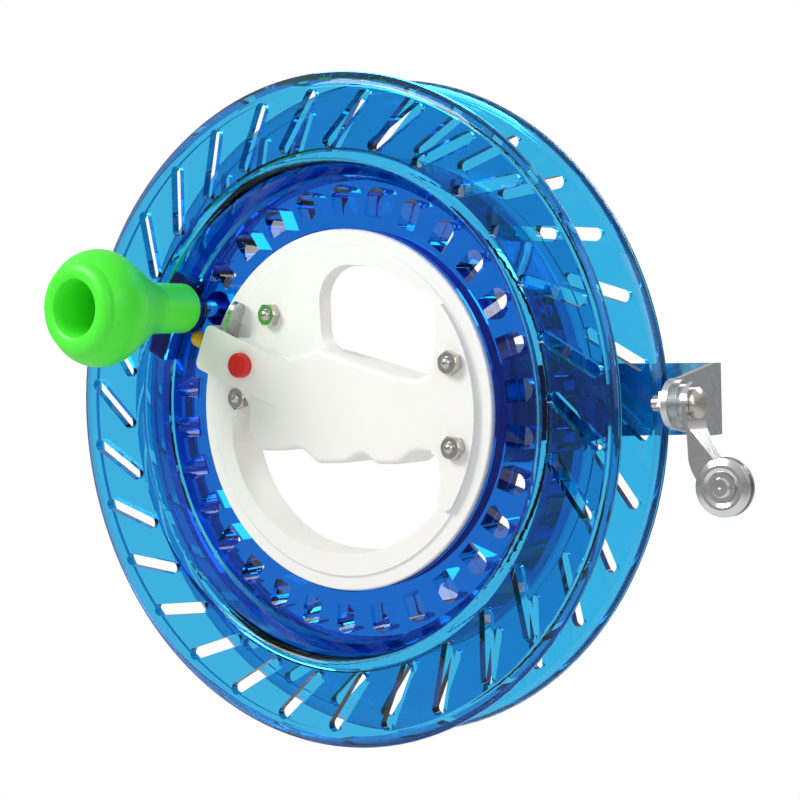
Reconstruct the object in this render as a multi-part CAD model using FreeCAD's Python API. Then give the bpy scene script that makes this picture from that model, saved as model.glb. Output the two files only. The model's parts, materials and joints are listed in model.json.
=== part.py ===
import FreeCAD, Part
import math
import os
from FreeCAD import Vector

# Hand-held line winder: a spoked handle disc, a wheel that turns round it on a ring of balls, a crank
# knob, a lock pin with its thumb lever and push button, and a swinging line guide with a roller.
# Millimetres. The wheel's axis is Y and the side that carries the knob faces -Y. +X points to the line
# guide and +Z up. The origin is the wheel's centre. Angles are in degrees, from +X towards +Z.

# Wheel
RIM_R = 110.0
FLANGE_FACE = 16.4
FLANGE_BACK = 11.4
BEVEL_R = 106.0
PLATE_THICK = 3.0
PLATE_INNER_R = 85.0
PLATE_OUTER_R = 105.8
PLATE_SLOPE = 0.6
LIP_R = 83.4
DRUM_R = 84.5
DRUM_WALL = 2.5
WEB_FACE = 5.5
WEB_OUTER_R = 76.0
WEB_INNER_R = 60.2
SEAT_R = 58.0
SEAT_FACE = 3.9
SLOT_COUNT = 30
SLOT_WIDTH = 4.1
SLOT_OUTER_R = 104.5
SLOT_INNER_R = 86.2
SLOT_TWIST = 9.5
FRONT_SLOT_ANGLE = 6.0
REAR_SLOT_ANGLE = 6.7
BLANK_SLOT_ANGLE = 330.0
WINDOW_ANGLE = 5.0
WINDOW_INNER_R = 64.5
WINDOW_OUTER_R = 74.3
WINDOW_WIDTH = 7.0
CRANK_WINDOWS = (149.0, 161.0)
COLLAR_R = 78.4
BOSS_FRONT = 13.9
RECESS_R = 80.8

# Ball ring between the handle and the wheel
RACE_INNER_R = 52.4
BALL_RING_R = 55.2
BALL_R = 1.6
GROOVE_R = 1.65
RACE_GAP = 0.8
BALL_COUNT = 30
CAGE_HALF = 2.9
CAGE_WALL = 0.9

# Crank
CRANK_ANGLE = 149.2
CRANK_R = 69.6
BOSS_ANGLE = 153.9
BOSS_HALF = 15.0
BOSS_INNER = 71.5
PLATE_FRONT = 15.5
LOBE_R = 9.0
AXLE_R = 3.0
KNOB_BASE = 16.2
KNOB_FLOOR = 34.0

# Handle
DISC_R = 59.7
DISC_FACE = 6.8
DISC_BACK = 4.3
PANEL_R = 55.2
PANEL_FACE = 7.5
PAD_FACE = 9.2
GRIP_FACE = 12.4
GRIP_ROUND = 2.0
BOLT_R = 2.0
LEFT_BOLTS = ((-27.8, 32.3), (-42.4, 4.3))
RIGHT_BOLTS = ((46.9, 15.0), (47.2, -11.7))

# Lock: s runs outwards along its radius, v across it towards the top of the housing
LOCK_ANGLE = 156.8
LOCK_Y = -10.8
HOUSING_END = 57.9
HOUSING_HALF = 8.0
HOUSING_FACE = 15.2
PIN_R = 2.7
PIN_START = 49.8
PIN_TIP = 66.0
LEVER_THICK = 1.8
LOCK_ROOM_S = 44.6
BUTTON_S = 39.6
BUTTON_R = 4.2

# Line guide
STRAP_FRONT = 19.4
STRAP_THICK = 2.0
STRAP_BEND = 2.6
PLATE_X = 125.4
PIVOT_Y = -5.8
PIVOT_Z = 1.9
ARM_X = 128.2
ARM_THICK = 1.4
FLANGE_Y = -12.0
ROLLER_X = 142.5
ROLLER_Z = -21.5
ROLLER_R = 8.45
ROLLER_FRONT = -16.8
ROLLER_BACK = -12.3

ALONG_Y = Vector(0, 1, 0)
ORIGIN = Vector(0, 0, 0)


def polar(radius, angle, y=0.0):
    turn = math.radians(angle)
    return Vector(radius * math.cos(turn), y, radius * math.sin(turn))


def in_section(a, b):
    return Vector(a, b, 0)


def in_front_view(a, b):
    return Vector(a, 0, b)


def in_side_view(a, b):
    return Vector(0, a, b)


# Closed wire through two-number points. A third number marks the middle point of an arc.
def closed_wire(points, place):
    chain = list(points) + [points[0]]
    start = place(*chain[0][:2])
    edges = []
    i = 1
    while i < len(chain):
        if len(chain[i]) == 3:
            end = place(*chain[i + 1][:2])
            edges.append(Part.Arc(start, place(*chain[i][:2]), end).toShape())
            i += 2
        else:
            end = place(*chain[i])
            edges.append(Part.makeLine(start, end))
            i += 1
        start = end
    return Part.Wire(edges)


# Corners given as (a, b, radius), turned into lines joined by tangent arcs.
def soft_corners(corners):
    points = []
    for i, (a, b, radius) in enumerate(corners):
        here = Vector(a, b, 0)
        back = Vector(*corners[i - 1][:2], 0) - here
        ahead = Vector(*corners[(i + 1) % len(corners)][:2], 0) - here
        back.normalize()
        ahead.normalize()
        half = back.getAngle(ahead) / 2
        middle = (back + ahead).normalize()
        centre = here + middle * (radius / math.sin(half))
        first = here + back * (radius / math.tan(half))
        last = here + ahead * (radius / math.tan(half))
        via = centre - middle * radius
        points.append((first.x, first.y))
        points.append((via.x, via.y, 1))
        points.append((last.x, last.y))
    return points


def turned(points, centre=ORIGIN):
    face = Part.Face(closed_wire(points, in_section))
    solid = face.revolve(ORIGIN, ALONG_Y, 360)
    return solid.translated(centre)


def front_prism(points, y_from, y_to):
    face = Part.Face(closed_wire(points, in_front_view)).translated(Vector(0, y_from, 0))
    return face.extrude(Vector(0, y_to - y_from, 0))


def side_prism(points, x_from, x_to):
    face = Part.Face(closed_wire(points, in_side_view)).translated(Vector(x_from, 0, 0))
    return face.extrude(Vector(x_to - x_from, 0, 0))


def tube(r_in, r_out, y_from, y_to, x=0.0, z=0.0):
    base = Vector(x, y_from, z)
    solid = Part.makeCylinder(r_out, y_to - y_from, base, ALONG_Y)
    if r_in > 0:
        solid = solid.cut(Part.makeCylinder(r_in, y_to - y_from, base, ALONG_Y))
    return solid


def box(x0, x1, y0, y1, z0, z1):
    return Part.makeBox(x1 - x0, y1 - y0, z1 - z0, Vector(x0, y0, z0))


# Turns a shape about the wheel's axis, anticlockwise as seen from the knob's side.
def spun(shape, angle):
    return shape.rotated(ORIGIN, Vector(0, -1, 0), angle)


def mirrored(shape):
    return shape.mirror(ORIGIN, ALONG_Y)


def hexagon(across_flats, y_from, y_to, x, z, turn=0.0):
    corner = across_flats / math.sqrt(3)
    points = []
    for k in range(6):
        spot = polar(corner, 60 * k + turn)
        points.append((x + spot.x, z + spot.z))
    return front_prism(points, y_from, y_to)


# One unbroken wire, wound round Y from y_from to y_to.
def coil(radius, wire_r, y_from, y_to, turns, x, z):
    steps = int(turns * 4)
    rise = (y_to - y_from - 2 * wire_r) / steps

    def spot(quarter):
        place = polar(radius, 90 * quarter, y_from + wire_r + rise * quarter)
        return place + Vector(x, 0, z)

    edges = [Part.Arc(spot(k), spot(k + 0.5), spot(k + 1)).toShape() for k in range(steps)]
    path = Part.Wire(edges)
    start = edges[0].tangentAt(edges[0].FirstParameter)
    section = Part.Wire([Part.makeCircle(wire_r, spot(0), start)])
    solid = path.makePipeShell([section], True, False)
    gap = rise * 4 - 2 * wire_r
    print("coil: least gap between turns %.2f mm" % gap)
    return solid


# Wheel

# Radius of the recess's sloping wall at a height over the wheel's middle.
def recess_wall(y):
    slope = (RECESS_R - WEB_OUTER_R) / (BOSS_FRONT - WEB_FACE)
    return WEB_OUTER_R + slope * (y - WEB_FACE)


# The flange is full depth at its rim and at its lip. In between it is a thinner plate, sunk from one side.
def flange_body():
    return turned([
        (recess_wall(FLANGE_BACK), FLANGE_BACK),
        (107.0, FLANGE_BACK),
        (109.2, 13.0),
        (109.9, 14.0, 1),
        (RIM_R, 14.8),
        (109.6, 15.5),
        (BEVEL_R, FLANGE_FACE),
        (LIP_R, FLANGE_FACE),
        (81.6, 15.7, 1),
        (RECESS_R, BOSS_FRONT),
    ])


# The ring taken off a flange's face, from the height y_rim at its two edges to y_floor.
def sunk_ring(y_rim, y_floor):
    return turned([
        (PLATE_INNER_R, y_rim),
        (PLATE_OUTER_R, y_rim),
        (PLATE_OUTER_R - PLATE_SLOPE, y_floor),
        (PLATE_INNER_R + PLATE_SLOPE, y_floor),
    ])


# The sloping wall between the flange and the hub ring.
def collar():
    return turned([
        (WEB_OUTER_R, WEB_FACE),
        (COLLAR_R, WEB_FACE),
        (DRUM_R - DRUM_WALL, FLANGE_BACK),
        (recess_wall(FLANGE_BACK), FLANGE_BACK),
    ])


def flange_slot(angle):
    outer = polar(SLOT_OUTER_R, angle)
    inner = polar(SLOT_INNER_R, angle + SLOT_TWIST)
    run = (inner - outer).normalize()
    half = SLOT_WIDTH / 2
    side = Vector(-run.z, 0, run.x) * half
    first = outer + run * half
    last = inner - run * half
    return front_prism([
        (first.x + side.x, first.z + side.z),
        (last.x + side.x, last.z + side.z),
        (inner.x, inner.z, 1),
        (last.x - side.x, last.z - side.z),
        (first.x - side.x, first.z - side.z),
        (outer.x, outer.z, 1),
    ], FLANGE_BACK - 1, FLANGE_FACE + 1)


def flange(sunk, first_angle, blank_angle=None):
    pitch = 360.0 / SLOT_COUNT
    angles = [first_angle + pitch * k for k in range(SLOT_COUNT)]
    slots = [flange_slot(a) for a in angles if a != blank_angle]
    return flange_body().cut(sunk).cut(Part.makeCompound(slots))


def front_flange():
    sunk = sunk_ring(FLANGE_BACK, FLANGE_FACE - PLATE_THICK)
    return mirrored(flange(sunk, FRONT_SLOT_ANGLE, BLANK_SLOT_ANGLE))


def rear_flange():
    sunk = sunk_ring(FLANGE_FACE, FLANGE_BACK + PLATE_THICK)
    return flange(sunk, REAR_SLOT_ANGLE)


def front_collar():
    return mirrored(collar())


def rear_collar():
    return collar()


def drum():
    return tube(DRUM_R - DRUM_WALL, DRUM_R, -FLANGE_BACK, FLANGE_BACK)


def web_window(angle):
    half = WINDOW_WIDTH / 2
    shoulder = WINDOW_OUTER_R - 2.6
    shape = front_prism([
        (WINDOW_INNER_R, -half),
        (shoulder, -half),
        (WINDOW_OUTER_R, 0, 1),
        (shoulder, half),
        (WINDOW_INNER_R, half),
    ], -WEB_FACE - 1, WEB_FACE + 1)
    return spun(shape, angle)


def hub_ring():
    ring = turned([
        (SEAT_R, -SEAT_FACE),
        (WEB_INNER_R, -SEAT_FACE),
        (WEB_INNER_R, -WEB_FACE),
        (DRUM_R - DRUM_WALL, -WEB_FACE),
        (DRUM_R - DRUM_WALL, WEB_FACE),
        (WEB_INNER_R, WEB_FACE),
        (WEB_INNER_R, SEAT_FACE),
        (SEAT_R, SEAT_FACE),
    ])
    angles = [WINDOW_ANGLE + 12.0 * k for k in range(30)]
    windows = [web_window(a) for a in angles if a not in CRANK_WINDOWS]
    axle = polar(CRANK_R, CRANK_ANGLE)
    windows.append(tube(0, AXLE_R, -WEB_FACE - 1, WEB_FACE + 1, axle.x, axle.z))
    return ring.cut(Part.makeCompound(windows))


def crank_boss():
    inside = turned([
        (WEB_INNER_R, -WEB_FACE),
        (WEB_OUTER_R, -WEB_FACE),
        (RECESS_R, -BOSS_FRONT),
        (WEB_INNER_R, -BOSS_FRONT),
    ])
    block = spun(box(BOSS_INNER, RIM_R, -BOSS_FRONT, -WEB_FACE, -BOSS_HALF, BOSS_HALF), BOSS_ANGLE)
    axle = polar(CRANK_R, CRANK_ANGLE)
    return block.common(inside).cut(tube(0, AXLE_R, -BOSS_FRONT, -WEB_FACE, axle.x, axle.z))


def crank_plate():
    axle = polar(CRANK_R, CRANK_ANGLE)
    band = spun(box(BOSS_INNER, RIM_R, -PLATE_FRONT, -BOSS_FRONT, -BOSS_HALF, BOSS_HALF), BOSS_ANGLE)
    arm = spun(box(CRANK_R, RIM_R, -PLATE_FRONT, -BOSS_FRONT, -LOBE_R, LOBE_R), CRANK_ANGLE)
    lobe = tube(0, LOBE_R, -PLATE_FRONT, -BOSS_FRONT, axle.x, axle.z)
    within = tube(0, 80.3, -PLATE_FRONT, -BOSS_FRONT)
    hole = tube(0, AXLE_R, -PLATE_FRONT, -BOSS_FRONT, axle.x, axle.z)
    return lobe.fuse([arm, band]).removeSplitter().common(within).cut(hole)


def on_crank(shape):
    return shape.translated(polar(CRANK_R, CRANK_ANGLE))


def crank_axle():
    head = KNOB_FLOOR + 0.9
    return on_crank(turned([
        (0, -head),
        (AXLE_R, -head),
        (AXLE_R, 11.6),
        (2.2, 12.4),
        (0, 12.4),
    ]))


def crank_cap():
    seat = KNOB_FLOOR + 0.9
    return on_crank(turned([
        (0, -seat - 3.2),
        (0.6, -seat - 3.2),
        (3.9, -seat - 2.4, 1),
        (5.2, -seat - 1.0),
        (5.2, -seat),
        (0, -seat),
    ]))


def crank_head_washer():
    return on_crank(tube(AXLE_R, 6.6, -KNOB_FLOOR - 0.9, -KNOB_FLOOR - 0.1))


def crank_base_washer():
    return on_crank(tube(AXLE_R, 7.4, -KNOB_BASE + 0.1, -PLATE_FRONT))


def crank_rear_washer():
    return on_crank(tube(AXLE_R, 6.0, WEB_FACE, WEB_FACE + 1.0))


def crank_nut():
    axle = polar(CRANK_R, CRANK_ANGLE)
    nut = hexagon(10.0, WEB_FACE + 1.0, WEB_FACE + 5.5, axle.x, axle.z)
    return nut.cut(tube(0, AXLE_R, WEB_FACE, WEB_FACE + 7, axle.x, axle.z))


def knob():
    return on_crank(turned([
        (AXLE_R + 0.1, -KNOB_BASE),
        (7.2, -KNOB_BASE),
        (8.1, -KNOB_BASE - 0.4, 1),
        (8.5, -KNOB_BASE - 1.3),
        (8.7, -32.0),
        (9.2, -34.4, 1),
        (10.6, -38.0),
        (14.2, -44.6, 1),
        (17.4, -50.8),
        (19.3, -58.0, 1),
        (15.6, -65.4),
        (12.6, -68.3, 1),
        (9.6, -67.9),
        (8.9, -66.2, 1),
        (8.6, -64.0),
        (7.4, -KNOB_FLOOR),
        (AXLE_R + 0.1, -KNOB_FLOOR),
    ]))


# Ball ring

def inner_race():
    face = BALL_RING_R - RACE_GAP
    groove = math.sqrt(GROOVE_R ** 2 - RACE_GAP ** 2)
    return turned([
        (RACE_INNER_R, -DISC_BACK),
        (face, -DISC_BACK),
        (face, -groove),
        (BALL_RING_R - GROOVE_R, 0, 1),
        (face, groove),
        (face, DISC_BACK),
        (RACE_INNER_R, DISC_BACK),
    ])


def outer_race():
    face = BALL_RING_R + RACE_GAP
    groove = math.sqrt(GROOVE_R ** 2 - RACE_GAP ** 2)
    return turned([
        (SEAT_R, -SEAT_FACE),
        (face, -SEAT_FACE),
        (face, -groove),
        (BALL_RING_R + GROOVE_R, 0, 1),
        (face, groove),
        (face, SEAT_FACE),
        (SEAT_R, SEAT_FACE),
    ])


def ball_places():
    return [polar(BALL_RING_R, 360.0 * k / BALL_COUNT) for k in range(BALL_COUNT)]


def balls():
    return Part.makeCompound([Part.makeSphere(BALL_R, spot) for spot in ball_places()])


def ball_cage():
    half = CAGE_WALL / 2
    ring = tube(BALL_RING_R - half, BALL_RING_R + half, -CAGE_HALF, CAGE_HALF)
    holes = []
    for spot in ball_places():
        outwards = Vector(spot).normalize()
        holes.append(Part.makeCylinder(BALL_R + 0.05, 4, spot - outwards * 2, outwards))
    return ring.cut(Part.makeCompound(holes))


# Handle

def disc_body():
    return turned([
        (0, 0),
        (RACE_INNER_R, 0),
        (RACE_INNER_R, DISC_BACK),
        (DISC_R - 0.4, DISC_BACK),
        (DISC_R, DISC_BACK + 0.4),
        (DISC_R, DISC_FACE - 0.8),
        (DISC_R - 0.2, DISC_FACE - 0.2, 1),
        (DISC_R - 0.8, DISC_FACE),
        (PANEL_R + 0.5, DISC_FACE),
        (PANEL_R, DISC_FACE + 0.2, 1),
        (PANEL_R - 0.5, PANEL_FACE),
        (0, PANEL_FACE),
    ])


def upper_opening(y_from, y_to, widen=0.0):
    return front_prism(soft_corners([
        (-7.4 - widen, 48.8, 11.5),
        (16.0, 46.8, 30.0),
        (41.4, 35.2, 9.5),
        (39.8, 9.0, 8.5),
        (24.0, 11.4, 30.0),
        (-6.6 - widen, 20.8, 8.5),
    ]), y_from, y_to)


# The finger hole below the grip. Its upper edge is the grip's, with ridges between the fingers.
def lower_opening(y_from, y_to):
    bow = front_prism([
        (-46.9, -11.4),
        (-46.6, 12.0),
        (41.2, 12.0),
        (41.0, -23.0),
        (40.2, -28.0, 1),
        (37.4, -32.6),
        (22.0, -43.0, 1),
        (-3.0, -47.2),
        (-31.5, -37.2, 1),
    ], y_from, y_to)
    under_grip = front_prism(soft_corners([
        (-47.2, -0.8, 3.0),
        (-40.4, -1.2, 2.5),
        (-33.0, -13.6, 7.0),
        (-21.5, -13.4, 7.0),
        (-15.0, -12.0, 7.0),
        (-8.0, -17.6, 5.0),
        (4.0, -17.2, 5.0),
        (10.5, -13.6, 4.5),
        (15.5, -17.4, 4.0),
        (24.5, -17.4, 5.0),
        (31.0, -13.2, 6.0),
        (41.8, -14.0, 5.5),
        (41.8, -60.0, 1.0),
        (-47.2, -60.0, 1.0),
    ]), y_from, y_to)
    return bow.common(under_grip)


def right_pad():
    return front_prism([
        (38.0, 33.6),
        (43.0, 33.6),
        (54.5, 2.0, 1),
        (45.6, -29.8),
        (43.4, -31.6, 1),
        (40.6, -31.0),
        (38.0, -28.0),
    ], PANEL_FACE, PAD_FACE)


def grip_block(depth):
    outline = front_prism(soft_corners([
        (-45.0, 9.0, 3.0),
        (-40.0, 22.5, 3.0),
        (-18.5, 18.0, 6.0),
        (1.0, 22.0, 1.0),
        (38.0, 14.0, 1.0),
        (46.0, 13.0, 1.0),
        (46.0, -21.0, 1.0),
        (-20.0, -22.0, 1.0),
        (-38.0, -14.0, 1.0),
        (-36.2, 3.0, 5.0),
    ]), 0, depth)
    wedge = Part.Face(closed_wire([
        (-60.0, 4.0),
        (-60.0, depth + 0.2),
        (60.0, depth - 4.4),
        (60.0, 4.0),
    ], in_section)).translated(Vector(0, 0, -30)).extrude(Vector(0, 0, 60))
    return outline.common(wedge)


def rounded_grip(depth, openings):
    block = grip_block(depth).cut(openings)
    body = max(block.Solids, key=lambda solid: solid.Volume)
    rim = [e for e in body.Edges if e.BoundBox.YMin > PAD_FACE - 1 and e.BoundBox.XMax < 45.5]
    return body.makeFillet(GRIP_ROUND, rim)


def shell_half(depth):
    openings = upper_opening(-1, 20).fuse(lower_opening(-1, 20))
    body = disc_body().cut(openings)
    pad = right_pad().cut(openings)
    return body.fuse([pad, rounded_grip(depth, openings)])


def in_lock(s0, s1, v0, v1, y0, y1):
    return spun(box(s0, s1, y0, y1, -v1, -v0), LOCK_ANGLE)


def along_lock(radius, s0, s1, y=LOCK_Y):
    rod = Part.makeCylinder(radius, s1 - s0, Vector(s0, y, 0), Vector(1, 0, 0))
    return spun(rod, LOCK_ANGLE)


def lock_housing():
    side = Part.Face(closed_wire([
        (14.0, -DISC_FACE),
        (14.0, -10.4),
        (45.0, -14.9),
        (48.0, -HOUSING_FACE),
        (HOUSING_END, -HOUSING_FACE),
        (HOUSING_END, -DISC_FACE),
    ], in_section)).translated(Vector(0, 0, -HOUSING_HALF))
    block = side.extrude(Vector(0, 0, 2 * HOUSING_HALF))
    corners = [e for e in block.Edges if abs(e.BoundBox.XMin - HOUSING_END) < 0.01
               and e.BoundBox.YLength > 5]
    block = block.makeFillet(2.4, corners)
    return spun(block, LOCK_ANGLE)


def lock_cavity():
    room = in_lock(LOCK_ROOM_S, 55.4, -4.0, 4.0, -14.4, -6.2)
    slit = in_lock(LOCK_ROOM_S, 55.4, 3.0, HOUSING_HALF + 3, -14.4, -7.2)
    bore = along_lock(PIN_R + 0.08, 55.0, HOUSING_END + 2)
    return room.fuse([slit, bore])


def button_spot():
    return polar(BUTTON_S, LOCK_ANGLE)


def button_cavity():
    spot = button_spot()
    return tube(0, BUTTON_R + 0.08, -20, -8.2, spot.x, spot.z)


def bolt_holes():
    return [tube(0, BOLT_R, -16, 24, x, z) for x, z in LEFT_BOLTS + RIGHT_BOLTS]


# Room for the nuts and washers beside the grip.
def bolt_seat_room(radius, y_from, y_to):
    return [tube(0, radius, y_from, y_to, x, z) for x, z in LEFT_BOLTS]


def handle_front():
    body = mirrored(shell_half(GRIP_FACE)).fuse(lock_housing())
    body = body.cut(upper_opening(-2.6, 0, 7.0))
    rooms = [lock_cavity(), button_cavity()] + bolt_holes() + bolt_seat_room(4.3, -20, -PANEL_FACE)
    return body.cut(rooms).removeSplitter()


def bracket_seat():
    corners = [(38.5, 22.0, 4.0), (52.0, 22.0, 4.0), (53.5, -18.0, 4.0), (41.5, -18.0, 4.0)]
    return front_prism(soft_corners(corners), DISC_FACE, STRAP_FRONT)


def handle_rear():
    seat = bracket_seat().cut(upper_opening(-1, 20).fuse(lower_opening(-1, 20)))
    body = shell_half(GRIP_FACE).fuse(seat)
    rooms = [upper_opening(-1, 20, 7.0)] + bolt_holes() + bolt_seat_room(4.6, PANEL_FACE, 20)
    return body.cut(rooms).removeSplitter()


def domed_tip(y, x, z):
    return turned([
        (0, y),
        (0.5, y),
        (1.5, y + 0.5, 1),
        (BOLT_R, y + 1.5),
        (BOLT_R, y + 2.0),
        (0, y + 2.0),
    ], Vector(x, 0, z))


def pan_head(y, x, z):
    return turned([
        (0, y),
        (3.6, y),
        (3.6, y + 1.2),
        (2.4, y + 2.3, 1),
        (0.6, y + 2.6),
        (0, y + 2.6),
    ], Vector(x, 0, z))


def handle_bolt(tip, seat, x, z):
    shank = tube(0, BOLT_R, tip + 2.0, seat, x, z)
    return domed_tip(tip, x, z).fuse([shank, pan_head(seat, x, z)]).removeSplitter()


def bolt_seats():
    left = [(PANEL_FACE, PANEL_FACE, x, z) for x, z in LEFT_BOLTS]
    right = [(PAD_FACE, STRAP_FRONT + STRAP_THICK, x, z) for x, z in RIGHT_BOLTS]
    return left + right


def handle_bolts():
    return Part.makeCompound([handle_bolt(-front - 4.7, rear + 0.8, x, z)
                              for front, rear, x, z in bolt_seats()])


def handle_bolt_washers():
    return Part.makeCompound([tube(BOLT_R, 4.4, rear, rear + 0.8, x, z)
                              for front, rear, x, z in bolt_seats()])


def handle_nuts():
    nuts = []
    for k, (front, rear, x, z) in enumerate(bolt_seats()):
        nut = hexagon(7.0, -front - 3.2, -front, x, z, 17.0 * k)
        bevel = turned([(0, -front), (4.2, -front), (4.2, -front - 2.4), (3.3, -front - 3.2),
                        (0, -front - 3.2)], Vector(x, 0, z))
        nuts.append(nut.common(bevel).cut(tube(0, BOLT_R, -front - 4, -front + 1, x, z)))
    return Part.makeCompound(nuts)


# Lock

def lock_pin():
    dome = turned([
        (0, 0),
        (PIN_R, 0),
        (PIN_R, PIN_TIP - PIN_R - PIN_START),
        (2.0, PIN_TIP - 0.9 - PIN_START, 1),
        (0.4, PIN_TIP - PIN_START),
        (0, PIN_TIP - PIN_START),
    ])
    rod = dome.rotated(ORIGIN, Vector(0, 0, 1), -90).translated(Vector(PIN_START, LOCK_Y, 0))
    return spun(rod, LOCK_ANGLE)


def thumb_lever():
    tab = soft_corners([
        (-14.1, -3.6, 0.5),
        (-14.1, 18.6, 3.2),
        (-7.5, 18.6, 3.2),
        (-7.5, 3.6, 0.4),
        (-6.6, 3.6, 0.3),
        (-6.6, -3.6, 0.5),
    ])
    points = [(p[0], -p[1]) + tuple(p[2:]) for p in tab]
    plate = side_prism(points, PIN_START, PIN_START + LEVER_THICK)
    plate = spun(plate, LOCK_ANGLE)
    return plate.cut(along_lock(PIN_R, 40, 60))


def lock_spring():
    wound = coil(1.7, 0.2, 0, PIN_START - LOCK_ROOM_S, 3, 0, 0)
    laid = wound.rotated(ORIGIN, Vector(0, 0, 1), -90).translated(Vector(LOCK_ROOM_S, LOCK_Y, 0))
    return spun(laid, LOCK_ANGLE)


def push_button():
    spot = button_spot()
    return turned([
        (0, -16.6),
        (3.4, -16.5),
        (4.0, -16.2, 1),
        (BUTTON_R, -15.6),
        (BUTTON_R, -12.4),
        (1.6, -12.4),
        (1.6, -10.2),
        (0, -10.2),
    ], spot)


def button_spring():
    spot = button_spot()
    return coil(2.6, 0.3, -12.4, -8.2, 3, spot.x, spot.z)


# Line guide

def guide_bracket():
    back = STRAP_FRONT + STRAP_THICK
    bend = STRAP_BEND
    inner = bend - STRAP_THICK
    inside_x = PLATE_X - STRAP_THICK
    angle = math.sqrt(0.5)
    section = Part.Face(closed_wire([
        (38.0, STRAP_FRONT),
        (inside_x - inner, STRAP_FRONT),
        (inside_x - inner + inner * angle, STRAP_FRONT - inner + inner * angle, 1),
        (inside_x, STRAP_FRONT - inner),
        (inside_x, PIVOT_Y - 12),
        (PLATE_X, PIVOT_Y - 12),
        (PLATE_X, back - bend),
        (PLATE_X - bend + bend * angle, back - bend + bend * angle, 1),
        (PLATE_X - bend, back),
        (38.0, back),
    ], in_section))
    strip = section.translated(Vector(0, 0, -30)).extrude(Vector(0, 0, 60))
    width = front_prism(soft_corners([
        (38.5, 22.0, 4.0),
        (56.0, 22.0, 8.0),
        (86.0, 13.4, 8.0),
        (130.0, 13.0, 1.0),
        (130.0, -8.4, 1.0),
        (86.0, -9.4, 8.0),
        (57.0, -18.0, 8.0),
        (41.0, -18.0, 4.0),
    ]), -40, 40)
    nose = side_prism([
        (-7.2, 9.2),
        (15.0, 13.0),
        (30.0, 30.0),
        (30.0, -30.0),
        (15.0, -9.0),
        (-8.5, -5.7),
        (-16.0, 1.8, 1),
    ], 30, 140)
    strip = strip.common(width).common(nose)
    pivot = Part.makeCylinder(2.5, 20, Vector(PLATE_X - 10, PIVOT_Y, PIVOT_Z), Vector(1, 0, 0))
    return strip.cut([pivot] + [tube(0, BOLT_R, 10, 30, x, z) for x, z in RIGHT_BOLTS])


def along_pivot(r_in, r_out, x_from, x_to):
    base = Vector(x_from, PIVOT_Y, PIVOT_Z)
    solid = Part.makeCylinder(r_out, x_to - x_from, base, Vector(1, 0, 0))
    if r_in > 0:
        solid = solid.cut(Part.makeCylinder(r_in, x_to - x_from, base, Vector(1, 0, 0)))
    return solid


def pivot_bolt():
    head = turned([
        (0, 0),
        (4.7, 0),
        (4.7, 1.0),
        (3.4, 2.1, 1),
        (0.6, 2.7),
        (0, 2.7),
    ]).rotated(ORIGIN, Vector(0, 0, 1), -90)
    head = head.translated(Vector(ARM_X + ARM_THICK + 0.1, PIVOT_Y, PIVOT_Z))
    shank = along_pivot(0, 2.5, PLATE_X - 9.0, ARM_X + ARM_THICK + 0.1)
    return shank.fuse(head).removeSplitter()


def pivot_nut():
    nut = hexagon(8.0, 0, 4.0, 0, 0, 10.0).rotated(ORIGIN, Vector(0, 0, 1), 90)
    nut = nut.translated(Vector(PLATE_X - STRAP_THICK, PIVOT_Y, PIVOT_Z))
    return nut.cut(along_pivot(0, 2.5, PLATE_X - 10, PLATE_X))


def pivot_washers():
    large = along_pivot(2.5, 6.9, PLATE_X, PLATE_X + 1.2)
    small = along_pivot(2.5, 5.7, PLATE_X + 1.2, ARM_X - 0.1)
    return Part.makeCompound([large, small])


# The strip hangs from the pivot and slopes outwards. Its front edge is folded down to hold the roller.
def guide_arm():
    outer = ARM_X + ARM_THICK
    strip = Part.Face(closed_wire([
        (outer, 12.0),
        (outer, -3.1),
        (outer + 0.6, -4.7, 1),
        (outer + 1.9, -6.3),
        (139.2, -15.3),
        (138.1, -16.2),
        (ARM_X + 2.2, -7.2),
        (ARM_X + 0.6, -4.9, 1),
        (ARM_X, -3.1),
        (ARM_X, 12.0),
    ], in_front_view)).translated(Vector(0, -20, 0)).extrude(Vector(0, 40, 0))
    outline = side_prism([
        (FLANGE_Y, PIVOT_Z),
        (-5.4, 8.2, 1),
        (1.2, PIVOT_Z),
        (1.2, -3.0),
        (-5.3, -10.0),
        (-6.9, -15.0),
        (-6.9, -18.0),
        (FLANGE_Y, -18.0),
    ], 120, 150)
    flange_plate = front_prism([
        (ARM_X + 1.4, -5.6),
        (ARM_X + 2.2, -7.2),
        (138.1, -16.2),
        (ROLLER_X + 4.2, ROLLER_Z + 5.0),
        (ROLLER_X + 6.5, ROLLER_Z, 1),
        (ROLLER_X - 1.0, ROLLER_Z - 6.4),
        (134.2, -21.8),
        (131.3, -18.0, 1),
        (ARM_X + 1.8, -14.0),
    ], FLANGE_Y, FLANGE_Y + ARM_THICK)
    hole = along_pivot(0, 2.6, ARM_X - 2, outer + 2)
    pin = tube(0, 2.0, FLANGE_Y - 2, FLANGE_Y + 4, ROLLER_X, ROLLER_Z)
    body = strip.common(outline).fuse(flange_plate).removeSplitter()
    return body.cut([hole, pin])


def at_roller():
    return Vector(ROLLER_X, 0, ROLLER_Z)


def roller_pin():
    return turned([
        (0, ROLLER_FRONT - 1.0),
        (2.4, ROLLER_FRONT - 0.9),
        (2.9, ROLLER_FRONT - 0.3),
        (2.9, ROLLER_FRONT + 0.2),
        (2.0, ROLLER_FRONT + 0.2),
        (2.0, FLANGE_Y + ARM_THICK),
        (3.4, FLANGE_Y + ARM_THICK),
        (3.2, FLANGE_Y + ARM_THICK + 1.0),
        (0, FLANGE_Y + ARM_THICK + 1.4),
    ], at_roller())


def roller_sleeve():
    return tube(2.0, 4.4, ROLLER_FRONT + 0.2, FLANGE_Y, ROLLER_X, ROLLER_Z)


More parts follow.
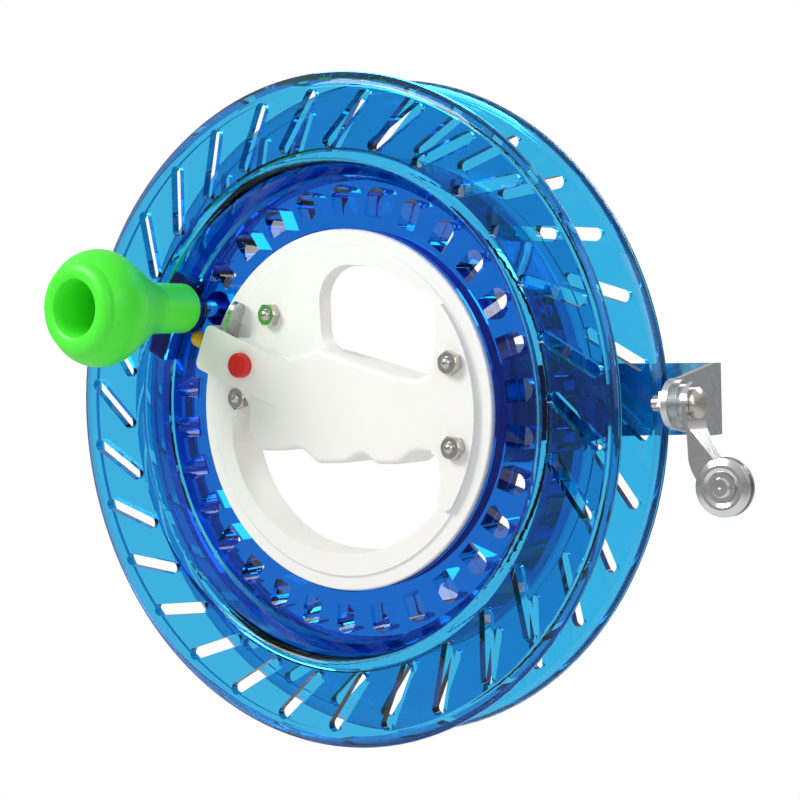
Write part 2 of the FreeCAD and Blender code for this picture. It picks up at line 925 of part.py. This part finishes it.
def roller():
    return turned([
        (4.5, ROLLER_FRONT + 0.4),
        (5.6, ROLLER_FRONT),
        (6.4, ROLLER_FRONT),
        (ROLLER_R - 0.3, ROLLER_FRONT + 0.6),
        (ROLLER_R, ROLLER_FRONT + 1.0),
        (ROLLER_R, ROLLER_FRONT + 1.5),
        (6.2, ROLLER_FRONT + 2.3, 1),
        (ROLLER_R, ROLLER_FRONT + 3.1),
        (ROLLER_R, ROLLER_BACK - 0.4),
        (ROLLER_R - 0.4, ROLLER_BACK),
        (4.5, ROLLER_BACK),
    ], at_roller())


PIECES = (
    front_flange, rear_flange, front_collar, rear_collar, drum, hub_ring, outer_race,
    crank_boss, crank_plate, crank_axle, crank_cap, crank_head_washer, crank_base_washer, crank_rear_washer,
    crank_nut, knob, inner_race, balls, ball_cage,
    handle_front, handle_rear, handle_bolts, handle_bolt_washers, handle_nuts,
    lock_pin, thumb_lever, lock_spring, push_button, button_spring,
    guide_bracket, pivot_bolt, pivot_nut, pivot_washers,
    guide_arm, roller_pin, roller_sleeve, roller,
)

os.makedirs("parts", exist_ok=True)
for piece in PIECES:
    shape = piece()
    name = piece.__name__
    if not shape.isValid():
        print("not valid:", name)
    print(name, len(shape.Solids), "solids, %.1f mm3" % shape.Volume)
    shape.exportStep("parts/%s.step" % name)
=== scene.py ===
import json
import math

import bmesh
import bpy
from mathutils import Matrix, Vector

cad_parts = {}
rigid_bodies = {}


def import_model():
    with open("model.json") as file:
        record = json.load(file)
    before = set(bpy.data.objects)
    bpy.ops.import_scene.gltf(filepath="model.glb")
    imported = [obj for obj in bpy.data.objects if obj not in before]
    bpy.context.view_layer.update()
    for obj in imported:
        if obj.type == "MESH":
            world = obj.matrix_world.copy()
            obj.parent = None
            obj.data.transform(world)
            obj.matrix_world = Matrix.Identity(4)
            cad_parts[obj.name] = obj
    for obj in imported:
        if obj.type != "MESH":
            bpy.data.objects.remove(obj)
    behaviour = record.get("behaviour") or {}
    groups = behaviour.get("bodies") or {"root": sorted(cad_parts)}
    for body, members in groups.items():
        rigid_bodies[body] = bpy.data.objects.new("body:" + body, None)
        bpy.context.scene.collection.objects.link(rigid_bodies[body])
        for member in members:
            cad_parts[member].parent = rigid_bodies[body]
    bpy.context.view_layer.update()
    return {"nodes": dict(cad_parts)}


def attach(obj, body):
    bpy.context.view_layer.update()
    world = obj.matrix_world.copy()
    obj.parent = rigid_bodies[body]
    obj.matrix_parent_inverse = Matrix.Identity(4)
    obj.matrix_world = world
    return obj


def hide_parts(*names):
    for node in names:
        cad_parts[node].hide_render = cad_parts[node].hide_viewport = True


# Looks for the hand-held line winder. The frame's metres: the wheel's axis is Y, the knob is on the -Y
# side, +X points to the line guide and +Z is up.

# Camera, as found from the photograph
AZIMUTH = 36.155
ELEVATION = 1.722
ROLL = -1.557
DISTANCE = 0.6165
LENS = 83.31
AIM_RIGHT = 0.01569
AIM_UP = 0.00312

FLOOR_Z = -0.42
WORLD_LIGHT = 0.40
HORIZON_LIGHT = 0.32
OVERHEAD_LIGHT = 0.7

# Radii between which the flanges' slots lie
SLOT_INSIDE = 0.0858
SLOT_OUTSIDE = 0.1050

# Clear pieces: their refraction, the air left round those that touch each other, how near two vertices
# are one, the least angle that stays a sharp edge, and how squarely a flat face meets the axis
CLEAR_IOR = 1.38
AIR = 0.00004
WELD = 0.000002
SHARP = math.radians(28.0)
SQUARE = 0.9999


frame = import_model()
nodes = frame["nodes"]


# Shader building

class Shader:
    """A material and short ways to add its nodes."""

    def __init__(self, name):
        self.material = bpy.data.materials.new(name)
        self.material.use_nodes = True
        self.tree = self.material.node_tree
        self.principled = self.tree.nodes["Principled BSDF"]
        self.output = self.tree.nodes["Material Output"]

    def add(self, kind, **values):
        node = self.tree.nodes.new(kind)
        for key, value in values.items():
            if hasattr(node, key):
                setattr(node, key, value)
            else:
                node.inputs[key.replace("_", " ")].default_value = value
        return node

    def link(self, out, into):
        self.tree.links.new(out, into)

    def set(self, **values):
        for key, value in values.items():
            self.principled.inputs[key.replace("_", " ")].default_value = value

    def place(self):
        return self.add("ShaderNodeTexCoord").outputs["Object"]

    def noise(self, scale, detail=3.0):
        node = self.add("ShaderNodeTexNoise", Scale=scale, Detail=detail)
        self.link(self.place(), node.inputs["Vector"])
        return node.outputs["Fac"]

    def ramp(self, value, low, high):
        node = self.add("ShaderNodeMapRange")
        node.inputs["To Min"].default_value = low
        node.inputs["To Max"].default_value = high
        self.link(value, node.inputs["Value"])
        return node.outputs["Result"]

    def between(self, value, start, end, low=0.0, high=1.0):
        node = self.add("ShaderNodeMapRange")
        node.interpolation_type = "SMOOTHSTEP"
        for key, number in (("From Min", start), ("From Max", end), ("To Min", low), ("To Max", high)):
            node.inputs[key].default_value = number
        self.link(value, node.inputs["Value"])
        return node.outputs["Result"]

    def mix(self, share, first, second):
        node = self.add("ShaderNodeMix", data_type="RGBA")
        self.link(share, node.inputs["Factor"])
        for socket, colour in ((node.inputs[6], first), (node.inputs[7], second)):
            if isinstance(colour, tuple):
                socket.default_value = (*colour, 1.0)
            else:
                self.link(colour, socket)
        return node.outputs[2]

    def math(self, operation, first, second):
        node = self.add("ShaderNodeMath", operation=operation)
        for socket, value in ((node.inputs[0], first), (node.inputs[1], second)):
            if isinstance(value, (int, float)):
                socket.default_value = value
            else:
                self.link(value, socket)
        return node.outputs[0]

    def bump(self, height, strength, distance):
        node = self.add("ShaderNodeBump", Strength=strength, Distance=distance)
        self.link(height, node.inputs["Height"])
        self.link(node.outputs["Normal"], self.principled.inputs["Normal"])

    def colour(self, socket):
        self.link(socket, self.principled.inputs["Base Color"])

    def roughness(self, socket):
        self.link(socket, self.principled.inputs["Roughness"])


# 1 on the walls of the slots, 0 on the flat faces, the rim and the recess.
def slot_wall(shader):
    geometry = shader.add("ShaderNodeNewGeometry")
    turn = shader.add("ShaderNodeSeparateXYZ")
    shader.link(geometry.outputs["Normal"], turn.inputs["Vector"])
    upright = shader.between(shader.math("ABSOLUTE", turn.outputs["Y"], 0.0), 0.1, 0.5, 1.0, 0.0)
    where = shader.add("ShaderNodeSeparateXYZ")
    shader.link(shader.place(), where.inputs["Vector"])
    flat = shader.add("ShaderNodeCombineXYZ")
    shader.link(where.outputs["X"], flat.inputs["X"])
    shader.link(where.outputs["Z"], flat.inputs["Y"])
    radius = shader.add("ShaderNodeVectorMath", operation="LENGTH")
    shader.link(flat.outputs["Vector"], radius.inputs[0])
    outside = shader.between(radius.outputs["Value"], SLOT_INSIDE, SLOT_INSIDE + 0.001)
    inside = shader.between(radius.outputs["Value"], SLOT_OUTSIDE, SLOT_OUTSIDE + 0.001, 1.0, 0.0)
    return shader.math("MULTIPLY", upright, shader.math("MULTIPLY", outside, inside))


# Clear tinted plastic. The tint deepens where a wall is seen along its length.
def clear_plastic(name, face, edge, wall):
    shader = Shader(name)
    shader.set(Transmission_Weight=1.0, IOR=CLEAR_IOR, Roughness=0.0)
    cloud = shader.ramp(shader.noise(22.0), 0.0, 0.35)
    pale = tuple(min(1.0, c * 1.12 + 0.01) for c in face)
    tinted = shader.mix(cloud, face, pale)
    slant = shader.add("ShaderNodeLayerWeight", Blend=0.5).outputs["Facing"]
    deepened = shader.mix(shader.between(slant, 0.25, 0.95), tinted, edge)
    shader.colour(shader.mix(slot_wall(shader), deepened, wall))
    shader.bump(shader.noise(30.0, 1.0), 0.03, 0.0003)
    lamp_ray = shader.add("ShaderNodeLightPath").outputs["Is Shadow Ray"]
    through = shader.add("ShaderNodeBsdfTransparent")
    through.inputs["Color"].default_value = (*[math.sqrt(c) for c in face], 1.0)
    either = shader.add("ShaderNodeMixShader")
    shader.link(lamp_ray, either.inputs[0])
    shader.link(shader.principled.outputs[0], either.inputs[1])
    shader.link(through.outputs[0], either.inputs[2])
    shader.link(either.outputs[0], shader.output.inputs["Surface"])
    return shader.material


def moulded_plastic(name, colour, shade, rough, grain=900.0, soft=0.0):
    shader = Shader(name)
    shader.set(IOR=1.46)
    if soft:
        shader.set(Subsurface_Weight=soft, Subsurface_Scale=0.004)
        shader.principled.inputs["Subsurface Radius"].default_value = (1.0, 0.6, 0.4)
    cloud = shader.ramp(shader.noise(14.0, 4.0), 0.0, 0.6)
    shader.colour(shader.mix(cloud, colour, shade))
    shader.roughness(shader.ramp(shader.noise(45.0, 4.0), rough - 0.05, rough + 0.07))
    shader.bump(shader.noise(grain, 2.0), 0.10, 0.0003)
    return shader.material


def steel(name, colour, shade, rough, grain=700.0):
    shader = Shader(name)
    shader.set(Metallic=1.0)
    shader.colour(shader.mix(shader.noise(120.0, 5.0), colour, shade))
    shader.roughness(shader.ramp(shader.noise(grain, 4.0), rough * 0.7, rough * 1.4))
    shader.bump(shader.noise(grain, 3.0), 0.12, 0.0002)
    return shader.material


# Zinc coat on rolled sheet: fine spangle with cloudy brightness.
def zinc_coat(name):
    shader = Shader(name)
    shader.set(Metallic=1.0)
    cells = shader.add("ShaderNodeTexVoronoi", Scale=420.0)
    shader.link(shader.place(), cells.inputs["Vector"])
    spread = shader.ramp(cells.outputs["Distance"], 0.0, 1.0)
    spangle = shader.mix(spread, (0.70, 0.72, 0.73), (0.50, 0.52, 0.54))
    cloud = shader.ramp(shader.noise(40.0, 5.0), 0.0, 0.55)
    shader.colour(shader.mix(cloud, spangle, (0.62, 0.64, 0.65)))
    shader.roughness(shader.ramp(shader.noise(260.0, 4.0), 0.20, 0.34))
    shader.bump(shader.noise(1100.0, 3.0), 0.15, 0.0002)
    return shader.material


clear_blue = clear_plastic("clear_blue", (0.035, 0.43, 0.74), (0.004, 0.14, 0.42), (0.001, 0.05, 0.22))
hub_blue = clear_plastic("hub_blue", (0.002, 0.13, 0.56), (0.001, 0.05, 0.34), (0.001, 0.06, 0.36))
# The crank boss and plate are a deeper navy than the wheel: partly their own tint, partly painted shadow of
# the knob and a painted dark reflection laid into their colour.
crank_blue = clear_plastic("crank_blue", (0.008, 0.12, 0.46), (0.002, 0.05, 0.30), (0.008, 0.12, 0.46))
white_plastic = moulded_plastic("white_plastic", (0.90, 0.89, 0.855), (0.87, 0.86, 0.82), 0.42, soft=0.05)
green_plastic = moulded_plastic("green_plastic", (0.08, 0.90, 0.04), (0.065, 0.84, 0.03), 0.36, 500.0, 0.08)
yellow_plastic = moulded_plastic("yellow_plastic", (0.80, 0.50, 0.02), (0.66, 0.38, 0.015), 0.35)
red_plastic = moulded_plastic("red_plastic", (0.72, 0.012, 0.012), (0.60, 0.008, 0.008), 0.30)
dark_plastic = moulded_plastic("dark_plastic", (0.03, 0.03, 0.033), (0.02, 0.02, 0.022), 0.45)
bright_steel = steel("bright_steel", (0.68, 0.65, 0.60), (0.48, 0.45, 0.40), 0.20)
polished_steel = steel("polished_steel", (0.78, 0.78, 0.78), (0.60, 0.60, 0.60), 0.12, 300.0)
zinc_steel = zinc_coat("zinc_steel")

LOOKS = {
    clear_blue: ["front_flange", "rear_flange", "front_collar", "rear_collar", "drum"],
    hub_blue: ["hub_ring"],
    crank_blue: ["crank_boss", "crank_plate"],
    white_plastic: ["handle_front", "handle_rear"],
    green_plastic: ["knob"],
    yellow_plastic: ["lock_pin"],
    red_plastic: ["push_button"],
    dark_plastic: ["ball_cage"],
    zinc_steel: ["guide_bracket", "thumb_lever", "pivot_washers"],
    polished_steel: ["guide_arm", "roller", "roller_pin", "roller_sleeve"],
    bright_steel: [
        "outer_race", "inner_race", "balls", "crank_axle", "crank_cap", "crank_head_washer",
        "crank_base_washer", "crank_rear_washer", "crank_nut", "handle_bolts", "handle_bolt_washers",
        "handle_nuts", "lock_spring", "button_spring", "pivot_bolt", "pivot_nut",
    ],
}

for material, names in LOOKS.items():
    for name in names:
        for slot in nodes[name].material_slots:
            slot.material = material


# Clear pieces

# A copy of a solid's mesh with its seams welded.
def welded_copy(node_name, name):
    mesh = nodes[node_name].data.copy()
    solid = bmesh.new()
    solid.from_mesh(mesh)
    bmesh.ops.remove_doubles(solid, verts=solid.verts, dist=WELD)
    bmesh.ops.recalc_face_normals(solid, faces=solid.faces)
    solid.to_mesh(mesh)
    solid.free()
    piece = bpy.data.objects.new(name, mesh)
    bpy.context.scene.collection.objects.link(piece)
    return piece


def faces_axis(face):
    return abs(face.normal.y) > SQUARE


# Smooth shading, with the wheel's flat faces kept flat up to their edges.
def shade(mesh):
    mesh.polygons.foreach_set("use_smooth", [True] * len(mesh.polygons))
    mesh.set_sharp_from_angle(angle=SHARP)
    solid = bmesh.new()
    solid.from_mesh(mesh)
    for edge in solid.edges:
        flat = [faces_axis(face) for face in edge.link_faces]
        if True in flat and False in flat:
            edge.smooth = False
    solid.to_mesh(mesh)
    solid.free()
    mesh.update()


def finish_clear(piece, material, names):
    piece.data.materials.clear()
    piece.data.materials.append(material)
    piece.data.polygons.foreach_set("material_index", [0] * len(piece.data.polygons))
    shade(piece.data)
    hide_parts(*names)
    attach(piece, "wheel")


# Several touching solids as one moulding, with no walls left inside it.
def moulded_as_one(name, material, names):
    piece = welded_copy(names[0], name)
    others = bpy.data.collections.new(name + "_parts")
    for other in names[1:]:
        copy = welded_copy(other, name + "_" + other)
        bpy.context.scene.collection.objects.unlink(copy)
        others.objects.link(copy)
    bpy.context.scene.collection.children.link(others)
    join = piece.modifiers.new("join", "BOOLEAN")
    join.operation = "UNION"
    join.solver = "EXACT"
    join.operand_type = "COLLECTION"
    join.collection = others
    solved = piece.evaluated_get(bpy.context.evaluated_depsgraph_get())
    mesh = bpy.data.meshes.new_from_object(solved)
    piece.modifiers.clear()
    piece.data = mesh
    for copy in list(others.objects):
        bpy.data.objects.remove(copy)
    bpy.data.collections.remove(others)
    finish_clear(piece, material, names)


# The solid drawn in by a hair, so that light crosses air between it and what it touches.
def drawn_in(name, material, node_name):
    piece = welded_copy(node_name, name)
    shifts = [(vertex, vertex.normal.copy()) for vertex in piece.data.vertices]
    for vertex, outwards in shifts:
        vertex.co = vertex.co - outwards * AIR
    finish_clear(piece, material, [node_name])


moulded_as_one("wheel_moulding", clear_blue, [
    "front_flange", "front_collar", "drum", "rear_collar", "rear_flange",
])
drawn_in("hub_moulding", hub_blue, "hub_ring")
drawn_in("boss_moulding", crank_blue, "crank_boss")
drawn_in("plate_moulding", crank_blue, "crank_plate")


# Stage: a pale floor well below the part, a white world and soft lamps

def stage_floor():
    mesh = bpy.data.meshes.new("floor")
    half = 6.0
    corners = [(-half, -half), (half, -half), (half, half), (-half, half)]
    mesh.from_pydata([(x, y, FLOOR_Z) for x, y in corners], [], [(0, 1, 2, 3)])
    floor = bpy.data.objects.new("floor", mesh)
    bpy.context.scene.collection.objects.link(floor)
    shader = Shader("floor_white")
    shader.set(Roughness=0.7)
    shader.principled.inputs["Base Color"].default_value = (0.86, 0.86, 0.86, 1.0)
    path = shader.add("ShaderNodeLightPath")
    seen = shader.math("MAXIMUM", path.outputs["Is Camera Ray"], path.outputs["Is Transmission Ray"])
    glow = shader.add("ShaderNodeEmission", Strength=1.0)
    glow.inputs["Color"].default_value = (1.0, 1.0, 1.0, 1.0)
    either = shader.add("ShaderNodeMixShader")
    shader.link(seen, either.inputs[0])
    shader.link(shader.principled.outputs[0], either.inputs[1])
    shader.link(glow.outputs[0], either.inputs[2])
    shader.link(either.outputs[0], shader.output.inputs["Surface"])
    mesh.materials.append(shader.material)


# The camera and rays through the clear plastic see plain white. Reflections see it bright overhead and
# darker at eye level, so that metal has its contrast and the plastic its full colour.
def white_world():
    world = bpy.data.worlds.new("studio")
    world.use_nodes = True
    tree = world.node_tree
    background = tree.nodes["Background"]
    background.inputs["Color"].default_value = (1.0, 1.0, 1.0, 1.0)

    def value(kind, operation=None):
        node = tree.nodes.new(kind)
        if operation:
            node.operation = operation
        return node

    path = value("ShaderNodeLightPath")
    seen = value("ShaderNodeMath", "MAXIMUM")
    tree.links.new(path.outputs["Is Camera Ray"], seen.inputs[0])
    tree.links.new(path.outputs["Is Transmission Ray"], seen.inputs[1])
    direction = value("ShaderNodeSeparateXYZ")
    tree.links.new(value("ShaderNodeTexCoord").outputs["Generated"], direction.inputs["Vector"])
    height = value("ShaderNodeMath", "ABSOLUTE")
    tree.links.new(direction.outputs["Z"], height.inputs[0])
    band = value("ShaderNodeMapRange")
    edges = (("From Min", 0.05), ("From Max", 0.55), ("To Min", HORIZON_LIGHT), ("To Max", OVERHEAD_LIGHT))
    for key, number in edges:
        band.inputs[key].default_value = number
    tree.links.new(height.outputs[0], band.inputs["Value"])

    def choose(share, low, high):
        node = value("ShaderNodeMix")
        tree.links.new(share, node.inputs["Factor"])
        for socket, number in ((node.inputs[2], low), (node.inputs[3], high)):
            if isinstance(number, float):
                socket.default_value = number
            else:
                tree.links.new(number, socket)
        return node.outputs[0]

    lit = choose(path.outputs["Is Glossy Ray"], WORLD_LIGHT, band.outputs["Result"])
    tree.links.new(choose(seen.outputs[0], lit, 1.0), background.inputs["Strength"])
    bpy.context.scene.world = world


def softbox(name, place, aim, width, height, watts):
    data = bpy.data.lights.new(name, "AREA")
    data.shape = "RECTANGLE"
    data.size = width
    data.size_y = height
    data.energy = watts
    lamp = bpy.data.objects.new(name, data)
    lamp.location = place
    lamp.rotation_euler = (Vector(aim) - Vector(place)).to_track_quat("-Z", "Y").to_euler()
    bpy.context.scene.collection.objects.link(lamp)


def place_camera():
    turn = math.radians(AZIMUTH)
    rise = math.radians(ELEVATION)
    back = Vector((math.sin(turn) * math.cos(rise), -math.cos(turn) * math.cos(rise), math.sin(rise)))
    level = (-back).cross(Vector((0, 0, 1))).normalized()
    upright = level.cross(-back)
    lean = math.radians(ROLL)
    right = level * math.cos(lean) + upright * math.sin(lean)
    up = upright * math.cos(lean) - level * math.sin(lean)
    place = back * DISTANCE + right * AIM_RIGHT + up * AIM_UP
    data = bpy.data.cameras.new("camera")
    data.lens = LENS
    data.sensor_width = 36.0
    data.clip_start = 0.01
    camera = bpy.data.objects.new("camera", data)
    axes = Matrix((right, up, back)).transposed().to_4x4()
    camera.matrix_world = Matrix.Translation(place) @ axes
    bpy.context.scene.collection.objects.link(camera)
    bpy.context.scene.camera = camera


stage_floor()
white_world()
softbox("key", (-0.55, -0.95, 0.75), (0.0, 0.0, 0.0), 0.6, 0.6, 11.8)
softbox("fill", (0.95, -0.75, 0.35), (0.0, 0.0, 0.0), 0.8, 0.8, 3.0)
softbox("back", (0.5, 0.9, 0.8), (0.0, 0.0, 0.0), 0.8, 0.5, 6.0)
place_camera()

bpy.context.scene.view_settings.view_transform = "Standard"
